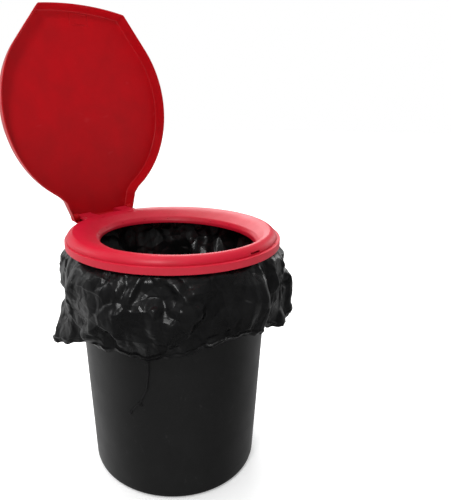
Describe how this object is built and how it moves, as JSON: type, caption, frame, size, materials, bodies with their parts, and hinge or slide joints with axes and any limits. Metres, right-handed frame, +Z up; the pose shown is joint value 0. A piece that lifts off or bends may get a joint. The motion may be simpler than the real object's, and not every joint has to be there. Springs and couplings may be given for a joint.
{
  "type": "portable camp toilet",
  "caption": "Portable camp toilet: a dished seat ring and hinged lid snapped onto a tapered pail with a thin bag liner cuffed over its rim and a wire bail.",
  "frame": {"origin": "middle of the pail's base, on the floor, on the pail's axis", "axes": "+Z up; -Y towards the front of the seat, where the lid latches; the lid's hinge runs along X behind the seat"},
  "size_m": [0.347, 0.3892, 0.7083],
  "materials": {
    "pail_plastic": "satin moulded",
    "seat_plastic": "semi-gloss moulded",
    "liner_film": "thin glossy film",
    "bail_steel": "zinc plated",
    "grip_plastic": "satin moulded",
    "string": "twisted"
  },
  "bodies": {
    "pail": {"pail": "pail_plastic", "liner_bag": "liner_film", "liner_cuff": "liner_film", "tie_string": "string", "tie_knot": "string"},
    "bail": {"bail_wire": "bail_steel", "bail_grip": "grip_plastic"},
    "seat": {"seat_ring": "seat_plastic"},
    "lid": {"lid": "seat_plastic"}
  },
  "joints": [
    {"name": "seat_lift", "type": "slide", "parent": "pail", "child": "seat", "axis": [0, 0, 1], "range_m": [0, 0.12]},
    {"name": "lid_hinge", "type": "hinge", "parent": "seat", "child": "lid", "pos_m": [0, 0.174, 0.378], "axis": [1, 0, 0], "range_deg": [0, 95]},
    {"name": "bail_swing", "type": "hinge", "parent": "pail", "child": "bail", "pos_m": [0, 0, 0.3], "axis": [0.7157, -0.6984, 0], "range_deg": [0, 38]}
  ]
}
